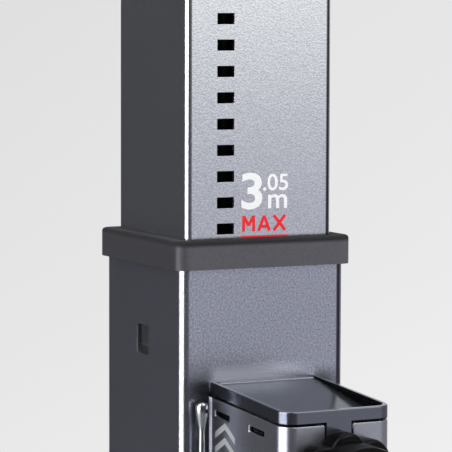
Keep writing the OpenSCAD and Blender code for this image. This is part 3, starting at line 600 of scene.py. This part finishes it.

# ---- Lid ----
# Black moulded cover with a rim and a sloping tray, sprayed in a dark metallic grey from outside.
# Its upward faces, the tray most of all, are painted lighter as light from above. Inside the rim
# and in the seam the colour is painted near-black as shade; below the rim the lip is bare black
# moulding.
grey_moulding = new_finish(
    "grey_moulding", srgb(112, 115, 125), metallic=0.84, roughness=0.17, grains=800, shade=0.1,
    bump=0.02, cloud=0.04)
lid_tilt, lid_rise, rim_height, tab_half = math.radians(3.5), 0.85349, 0.0075, 0.008
inner_half, seam_line, tab_round = 0.0315, 0.0011, 0.0006
upward = 0.9  # least upward rise of a face that is painted lighter as light from above
inward = -0.012  # direction across times place across, below which a surface faces the middle
lid_tree = grey_moulding.node_tree
lid_place, lid_facing = place_of(lid_tree), facing_of(lid_tree)
up_the_rim = maths(lid_tree, "MULTIPLY_ADD", lid_place["Z"], math.cos(lid_tilt),
                   maths(lid_tree, "MULTIPLY", lid_place["Y"], -math.sin(lid_tilt)))
below_top = maths(lid_tree, "SUBTRACT", lid_rise, up_the_rim)
off_middle = maths(lid_tree, "ABSOLUTE", lid_place["X"])
to_the_side = maths(lid_tree, "MULTIPLY", lid_facing["X"], lid_place["X"])
inside_rim = overlap(lid_tree, maths(lid_tree, "LESS_THAN", to_the_side, inward),
                     maths(lid_tree, "LESS_THAN", off_middle, inner_half))
under_rim = overlap(lid_tree, maths(lid_tree, "GREATER_THAN", below_top, rim_height - seam_line),
                    maths(lid_tree, "GREATER_THAN", off_middle, tab_half - tab_round))
# upward faces painted lighter, as light from above
lay_over(grey_moulding, maths(lid_tree, "GREATER_THAN", lid_facing["Z"], upward),
         srgb(129, 134, 143))
# painted shade: near-black inside the rim and in the seam, and the bare lip below the rim
lay_over(grey_moulding, maths(lid_tree, "MAXIMUM", inside_rim, under_rim), srgb(9, 9, 10))
dress("lid", grey_moulding)
ease_edges("lid", 0.0008, 3, False)

# ---- Nut plate, rivets, nut and washer ----
# Zinc-plated steel pieces that carry the clamp screw. The plate is riveted inside the
# housing's front, the nut sits behind it, and the washer lies under the knob.
for node in ("nut_plate", "nut_plate_rivets", "clamp_nut", "knob_washer"):
    dress(node, zinc_steel)

# ---- Gas spring ----
# A black enamelled cylinder that hangs with its chromed rod down. The rod is pinned to a clevis
# on the foot plate, and a bolt through the inner post holds the cylinder between two spacers.
black_enamel = new_finish(
    "black_enamel", srgb(34, 34, 37), metallic=0.1, roughness=0.22, grains=900, shade=0.10,
    bump=0.05)
chrome = new_finish(
    "chrome", srgb(226, 227, 230), metallic=1, roughness=0.08, grains=900, shade=0.03, bump=0.01,
    cloud=0.02)
dress("gas_spring_cylinder", black_enamel)
dress("gas_spring_rod", chrome)
dress("gas_spring_clevis", black_paint)
for node in ("clevis_pin", "cylinder_bolt", "cylinder_nut"):
    dress(node, zinc_steel)
ease_edges("cylinder_bolt", 0.0004)
ease_edges("cylinder_nut", 0.0004)
dress("cylinder_spacers", charcoal_moulding)

# ---- Inner post ----
# Square steel tube with a punched rack of slots, sprayed with a bright silver paint whose grain
# is fainter than the outer post's.
silver_paint = new_finish(
    "silver_paint", srgb(221, 224, 230), metallic=0.935, roughness=0.14, grains=950, shade=0.24,
    bump=0.18, cloud=0.04)
# painted shade along the front's corner on the side away from the lever
paint_corner_shade(silver_paint, 0.0408, srgb(66, 67, 74))
dress("inner_post", silver_paint)
ease_edges("inner_post", 0.0003)

# ---- Height mark ----
# The height in metres at full lift, printed in white ink, with its limit and a line in red.
# The ink stands a few hundredths of a millimetre on the post's face.
inner_front, collar_top = -0.045, 0.930
ink_depth, ink_gap = 0.00006, 0.00001


def printed_ink(name, colour):
    return new_finish(
        name, colour, metallic=0, roughness=0.45, grains=900, shade=0.04, bump=0.12, cloud=0.02)


white_ink = printed_ink("white_ink", srgb(250, 251, 253))
red_ink = printed_ink("red_ink", srgb(248, 36, 46))


def printed_words(name, words, box, weight, ink):
    """Words that fill a box (left, right, bottom, top) on the post's front, in millimetres
    from the post's middle and from the collar's top."""
    left, right, bottom, top = [v / 1000 for v in box]
    bpy.ops.object.text_add()
    text = bpy.context.object
    text.data.body = words
    text.data.offset = weight
    text.data.resolution_u = 4
    bpy.ops.object.convert(target="MESH")
    text = bpy.context.object
    bpy.ops.object.mode_set(mode="EDIT")
    bpy.ops.mesh.select_all(action="SELECT")
    bpy.ops.mesh.remove_doubles(threshold=0.0001)
    bpy.ops.mesh.extrude_region_move(TRANSFORM_OT_translate={"value": (0, 0, 1)})
    bpy.ops.mesh.select_all(action="SELECT")
    bpy.ops.mesh.normals_make_consistent(inside=False)
    bpy.ops.object.mode_set(mode="OBJECT")
    bpy.ops.object.shade_flat()
    xs = [v.co.x for v in text.data.vertices]
    ys = [v.co.y for v in text.data.vertices]
    wide = (right - left) / (max(xs) - min(xs))
    high = (top - bottom) / (max(ys) - min(ys))
    text.scale = (wide, high, ink_depth + ink_gap)
    text.location = (left - min(xs) * wide, inner_front + ink_gap,
                     collar_top + bottom - min(ys) * high)
    text.rotation_euler = (math.pi / 2, 0, 0)
    settle(text)
    text.name = text.data.name = name
    text.data.materials.append(ink)
    return text


def printed_stroke(start, end, thick, ink, lift=0):
    """A straight stroke between two places on the post's front, measured like the words' boxes.
    Strokes that cross are lifted by different amounts."""
    run = Vector(end) - Vector(start)
    bpy.ops.mesh.primitive_plane_add(size=1)
    stroke = bpy.context.object
    bpy.ops.object.mode_set(mode="EDIT")
    bpy.ops.mesh.select_all(action="SELECT")
    bpy.ops.transform.resize(value=(run.length / 1000, thick / 1000, 1))
    bpy.ops.mesh.extrude_region_move(
        TRANSFORM_OT_translate={"value": (0, 0, ink_depth + ink_gap + lift)})
    bpy.ops.mesh.select_all(action="SELECT")
    bpy.ops.mesh.normals_make_consistent(inside=False)
    bpy.ops.object.mode_set(mode="OBJECT")
    stroke.rotation_euler = (math.pi / 2, -math.atan2(run.y, run.x), 0)
    middle = (Vector(start) + Vector(end)) / 2000
    stroke.location = (middle.x, inner_front + ink_gap, collar_top + middle.y)
    stroke.data.materials.append(ink)
    return settle(stroke)


height_mark = join("height_mark", [
    printed_words("figure_three", "3", (-11.5, 1.4, 15.5, 35.8), 0.02, white_ink),
    printed_words("figures_after_the_point", ".05", (1.8, 17.5, 25.6, 34.9), 0.012, white_ink),
    printed_words("metres", "m", (5.0, 16.9, 15.8, 23.5), 0.012, white_ink)])
# MAX, stroke by stroke, and the line under it
limit_strokes = [
    ((-10.1, 3.3), (-10.1, 12.1)), ((-9.9, 11.8), (-7.0, 6.6)), ((-7.0, 6.6), (-4.1, 11.8)),
    ((-3.9, 12.1), (-3.9, 3.3)), ((-0.8, 3.5), (2.6, 11.8)), ((2.6, 11.8), (6.0, 3.5)),
    ((0.4, 5.9), (4.8, 5.9)), ((8.6, 3.5), (15.7, 11.9)), ((15.7, 3.5), (8.6, 11.9))]
stroke_thick, line_thick, lift_step = 1.75, 0.9, 0.000003
limit_mark = join("limit_mark", [
    *[printed_stroke(start, end, stroke_thick, red_ink, lift=count * lift_step)
      for count, (start, end) in enumerate(limit_strokes)],
    printed_stroke((-12.0, 0.55), (17.6, 0.55), line_thick, red_ink)])
for mark in (height_mark, limit_mark):
    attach(mark, "inner_mast")

# ---- Guide shoe, head cap and cross tubes ----
# Charcoal mouldings on the inner post's two ends, and zinc-plated steel tubes through its head
# that take the bolts of whatever it carries.
dress("guide_shoe", charcoal_moulding)
dress("head_cap", charcoal_moulding)
dress("arm_tubes", zinc_steel)

# ---- Latch ----
# Shaft, pawl, pins and retaining ring of plated or oiled steel. The shaft crosses the housing,
# and the lever turns it together with the pawl.
oiled_steel = new_finish(
    "oiled_steel", srgb(120, 122, 126), metallic=1, roughness=0.32, grains=800, shade=0.14,
    bump=0.10, cloud=0.12)
dress("latch_shaft", zinc_steel)
for node in ("latch_pawl", "latch_pins", "shaft_ring"):
    dress(node, oiled_steel)

# ---- Latch spring ----
# Round-wire coil that stands on the housing's floor. The end turns lie closer than the rest.
wire_radius, coil_turns, end_rise, points_a_turn = 0.0007, 8, 0.0019, 24
coil_low, coil_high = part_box("latch_spring")
coil_middle = (coil_low + coil_high) / 2
coil_radius = (coil_high.x - coil_low.x) / 2 - wire_radius
free_rise = (coil_high.z - coil_low.z - 2 * wire_radius - 2 * end_rise) / (coil_turns - 2)
wire = bpy.data.curves.new("coil_wire", "CURVE")
wire.dimensions = "3D"
wire.bevel_depth = wire_radius
wire.bevel_resolution = 2
wire.use_fill_caps = True
wire_line = wire.splines.new("POLY")
wire_line.points.add(coil_turns * points_a_turn)
for count, point in enumerate(wire_line.points):
    turned = count / points_a_turn
    rise = (min(turned, 1) + max(0, turned - coil_turns + 1)) * end_rise
    rise += max(0, min(turned - 1, coil_turns - 2)) * free_rise
    point.co = (coil_middle.x + coil_radius * math.cos(turned * 2 * math.pi),
                coil_middle.y + coil_radius * math.sin(turned * 2 * math.pi),
                coil_low.z + wire_radius + rise, 1)
coil = bpy.data.objects.new("coil_spring", wire)
bpy.context.scene.collection.objects.link(coil)
bpy.ops.object.select_all(action="DESELECT")
coil.select_set(True)
bpy.context.view_layer.objects.active = coil
bpy.ops.object.convert(target="MESH")
coil = bpy.context.object
bpy.ops.object.mode_set(mode="EDIT")
bpy.ops.mesh.select_all(action="SELECT")
bpy.ops.mesh.remove_doubles(threshold=0.000005)
bpy.ops.mesh.normals_make_consistent(inside=False)
bpy.ops.object.mode_set(mode="OBJECT")
bpy.ops.object.shade_smooth_by_angle(angle=math.radians(60))
coil.data.materials.clear()
coil.data.materials.append(zinc_steel)
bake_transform(coil)
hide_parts("latch_spring")

# ---- Release lever ----
# Chromed steel bar, forged into a pear-shaped end and pressed through a turned hub that
# is pinned to the latch shaft.
lever_x, lever_y, shaft_y, shaft_z = -0.041, -0.0564, -0.060, 0.7675
# (height above the shaft, radius) along the bar, in millimetres
bar_rings = [(0, 1.9), (36, 1.9), (50, 1.75), (57, 1.6), (59, 1.65), (61, 1.9), (63.5, 2.4),
             (66, 2.95), (68.5, 3.45), (70, 3.65), (71.2, 3.7), (72.2, 3.6), (73.1, 3.25),
             (73.9, 2.65), (74.4, 1.9), (74.7, 0.9)]
bpy.ops.mesh.primitive_circle_add(vertices=32, radius=bar_rings[0][1] / 1000, location=(0, 0, 0))
bar = bpy.context.object
bpy.ops.object.mode_set(mode="EDIT")
bpy.ops.mesh.select_all(action="SELECT")
for (low, before), (high, after) in zip(bar_rings, bar_rings[1:]):
    bpy.ops.mesh.extrude_edges_move(TRANSFORM_OT_translate={"value": (0, 0, (high - low) / 1000)})
    bpy.ops.transform.resize(value=(after / before, after / before, 1))
bpy.ops.mesh.fill()
bpy.ops.mesh.select_all(action="SELECT")
bpy.ops.mesh.normals_make_consistent(inside=False)
bpy.ops.object.mode_set(mode="OBJECT")
bar.location = (lever_x, lever_y, shaft_z)
settle(bar)
hub_radius, hub_length, hub_edge, hub_rim, hub_dish = 0.008, 0.0104, 0.0009, 0.0018, 0.0004
bpy.ops.mesh.primitive_cylinder_add(vertices=64, radius=hub_radius, depth=hub_length)
hub = bpy.context.object
bpy.ops.object.mode_set(mode="EDIT")
bpy.ops.mesh.select_mode(type="EDGE")
mesh = bmesh.from_edit_mesh(hub.data)
flat_edges = [e for e in mesh.edges if abs(e.verts[0].co.z - e.verts[1].co.z) < 0.0001]
only(mesh, chosen_edges=flat_edges)
bpy.ops.mesh.bevel(offset=hub_edge, segments=3)
bpy.ops.mesh.select_mode(type="FACE")
mesh = bmesh.from_edit_mesh(hub.data)
only(mesh, chosen_faces=[f for f in mesh.faces if f.normal.z < -0.99])
bpy.ops.mesh.inset(thickness=hub_rim)
bpy.ops.mesh.extrude_region_move(TRANSFORM_OT_translate={"value": (0, 0, hub_dish)})
bpy.ops.object.mode_set(mode="OBJECT")
hub.rotation_euler = (0, math.pi / 2, 0)
hub.location = (lever_x, shaft_y, shaft_z)
settle(hub)
lever = join("release_lever_chrome", [bar, hub])
bpy.ops.object.shade_smooth_by_angle(angle=math.radians(40))
lever_chrome = new_finish(
    "lever_chrome", srgb(160, 162, 166), metallic=1, roughness=0.25, grains=900, shade=0.03,
    bump=0.01, cloud=0.02)
lever.data.materials.append(lever_chrome)
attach(lever, "latch")
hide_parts("release_lever")

# ---- Lift sign ----
# Two chevrons that point up over a plain bar, printed in white ink on the housing's side behind
# the lever.
housing_side = -0.033


def printed_chevron(middle_y, bottom_z, wide, thick, rise):
    bpy.ops.mesh.primitive_plane_add(size=1)
    sign = bpy.context.object
    bpy.ops.object.mode_set(mode="EDIT")
    bpy.ops.mesh.select_all(action="SELECT")
    bpy.ops.transform.resize(value=(wide, thick, 1))
    bpy.ops.mesh.subdivide(number_cuts=1)
    mesh = bmesh.from_edit_mesh(sign.data)
    bpy.ops.mesh.select_mode(type="VERT")
    only(mesh, chosen_verts=[v for v in mesh.verts if abs(v.co.x) < 0.0001])
    bpy.ops.transform.translate(value=(0, rise, 0))
    bpy.ops.mesh.select_all(action="SELECT")
    bpy.ops.mesh.extrude_region_move(TRANSFORM_OT_translate={"value": (0, 0, ink_depth)})
    bpy.ops.mesh.select_all(action="SELECT")
    bpy.ops.mesh.normals_make_consistent(inside=False)
    bpy.ops.object.mode_set(mode="OBJECT")
    sign.rotation_euler = (math.pi / 2, 0, -math.pi / 2)
    sign.location = (housing_side + ink_gap, middle_y, bottom_z)
    return settle(sign)


sign_middle, sign_wide = -0.0687, 0.024
lift_sign = join("lift_sign", [
    printed_chevron(sign_middle, 0.8235, sign_wide, 0.0036, 0.0065),
    printed_chevron(sign_middle, 0.8155, sign_wide, 0.0036, 0.0065),
    printed_chevron(sign_middle, 0.8085, sign_wide, 0.0024, 0)])
lift_sign.data.materials.append(white_ink)
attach(lift_sign, "post_base")

# ---- Clamp pad and stud ----
# A rubber-faced pad that the screw presses on the inner post, so that it can't rattle, and the
# zinc-plated screw itself.
pad_rubber = new_finish(
    "pad_rubber", srgb(40, 40, 42), metallic=0, roughness=0.7, grains=700, shade=0.12, bump=0.3)
dress("clamp_pad", pad_rubber)
dress("clamp_stud", zinc_steel)

# ---- Clamp knob ----
# Black moulded knob: a rim of nine rounded lobes for the hand, and a round boss whose dish
# holds a snap-in cap. It is moulded round the head of the clamp screw.
knob_back, knob_height = -0.139, 0.803
lobes, lobe_ring, lobe_radius, valley_radius, knob_radius = 9, 22.2, 10.8, 28.9, 33
steps_per_lobe, knob_turn = 16, math.radians(3)
black_moulding = new_finish(
    "black_moulding", srgb(8, 8, 9), metallic=0, roughness=0.3, specular=0.1, grains=700,
    shade=0.14, bump=0.08)


def lobe_outline(away):
    """Radius of the rim, in millimetres, this many degrees away from a lobe's crest."""
    a = math.radians(away)
    crest = lobe_ring * math.cos(a) + math.sqrt(lobe_radius ** 2 - (lobe_ring * math.sin(a)) ** 2)
    return max(crest, valley_radius)


bpy.ops.mesh.primitive_circle_add(
    vertices=lobes * steps_per_lobe, radius=knob_radius / 1000, location=(0, 0, 0))
knob = bpy.context.object
bpy.ops.object.mode_set(mode="EDIT")
bpy.ops.mesh.select_all(action="SELECT")
step = 360 / (lobes * steps_per_lobe)


def shape_rim(height, radius_at):
    """Moves the ring of points at this height to the radius that each angle should have."""
    mesh = bmesh.from_edit_mesh(knob.data)
    for place in range(steps_per_lobe // 2 + 1):
        group = []
        for v in mesh.verts:
            if abs(v.co.z - height / 1000) > 0.00001:
                continue
            around = round(math.degrees(math.atan2(v.co.x, v.co.y)) / step) % steps_per_lobe
            if min(around, steps_per_lobe - around) == place:
                group.append(v)
        only(mesh, chosen_verts=group)
        now = math.hypot(group[0].co.x, group[0].co.y)
        scale = radius_at(place * step) / 1000 / now
        bpy.ops.transform.resize(value=(scale, scale, 1))
    only(mesh, chosen_verts=[v for v in mesh.verts if abs(v.co.z - height / 1000) < 0.00001])


# rim: (distance from the back, how far the crests are drawn in); nearer the axis the rim is
# drawn in less, and at the still radius not at all
still_radius = 25
rim_layers = [(0, 1.6), (0.35, 0.7), (1.0, 0.15), (1.8, 0), (8.6, 0), (9.9, 0.35), (11.0, 1.1),
              (11.7, 2.1), (12.0, 3.2)]
at = 0
for distance, drawn_in in rim_layers:
    if distance > at:
        bpy.ops.mesh.extrude_edges_move(
            TRANSFORM_OT_translate={"value": (0, 0, (distance - at) / 1000)})
    at = distance
    shape_rim(at, lambda away: min(lobe_outline(away), knob_radius)
              - drawn_in * (lobe_outline(away) - still_radius) / (knob_radius - still_radius))
# boss, its front edge, the dish and the pocket behind the cap: (distance from the back, radius)
boss_layers = [(12.05, 28.5), (13.0, 28.3), (27.7, 28.0), (28.5, 27.8), (28.9, 27.2), (29.0, 26.6),
               (28.9, 25.8), (28.3, 25.1), (26.4, 22.6), (26.0, 21.6), (26.0, 15.0), (21.0, 15.0)]
was = None
for distance, radius in boss_layers:
    bpy.ops.mesh.extrude_edges_move(
        TRANSFORM_OT_translate={"value": (0, 0, (distance - at) / 1000)})
    at = distance
    if was:
        bpy.ops.transform.resize(value=(radius / was, radius / was, 1))
    else:
        shape_rim(at, lambda away: radius)
    was = radius
bpy.ops.mesh.fill()
mesh = bmesh.from_edit_mesh(knob.data)
only(mesh, chosen_verts=[v for v in mesh.verts if abs(v.co.z) < 0.00001])
bpy.ops.mesh.fill()
bpy.ops.mesh.select_all(action="SELECT")
bpy.ops.mesh.normals_make_consistent(inside=False)
bpy.ops.object.mode_set(mode="OBJECT")
bpy.ops.object.shade_smooth_by_angle(angle=math.radians(38))
knob.rotation_euler = (0, 0, knob_turn)
settle(knob)
knob.rotation_euler = (math.pi / 2, 0, 0)
knob.location = (0, knob_back, knob_height)
settle(knob)
knob.name = knob.data.name = "clamp_knob_moulding"
knob.data.materials.append(black_moulding)
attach(knob, "clamp_screw")
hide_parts("clamp_knob")

# ---- Knob cap ----
# A round black cap that snaps into the knob's dish and hides the screw's head. It is moulded
# in the knob's own plastic.
dress("knob_cap", black_moulding)
